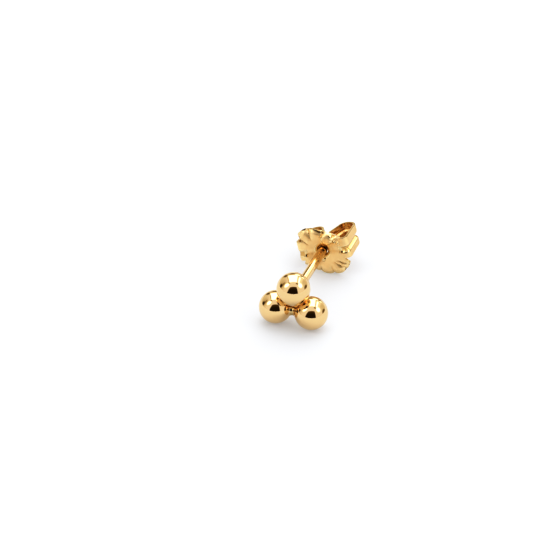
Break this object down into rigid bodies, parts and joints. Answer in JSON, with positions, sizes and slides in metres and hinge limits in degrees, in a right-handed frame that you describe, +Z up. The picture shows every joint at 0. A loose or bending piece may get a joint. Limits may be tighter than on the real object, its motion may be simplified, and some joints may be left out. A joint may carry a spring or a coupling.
{
  "type": "stud earring",
  "caption": "Stud earring of balls soldered in a triangle on a straight post, with a sliding butterfly back of fluted sheet with curled ears.",
  "frame": {"origin": "on the surface that the earring lies on, under the middle of its box", "axes": "+Z up from that surface, +Y from the balls towards the post's tip, +X to the right, from one lower ball to the other"},
  "size_m": [0.0064, 0.015, 0.0054],
  "materials": {
    "polished_gold": "mirror polished yellow gold",
    "satin_gold": "satin yellow gold with bright pressed edges"
  },
  "bodies": {
    "stud": {"ball_stud": "polished_gold"},
    "back": {"butterfly_back": "satin_gold"}
  },
  "joints": [
    {"name": "back_slide", "type": "slide", "parent": "stud", "child": "back", "axis": [0, 0.9963, -0.0858], "range_m": [-0.007, 0.0022]}
  ]
}
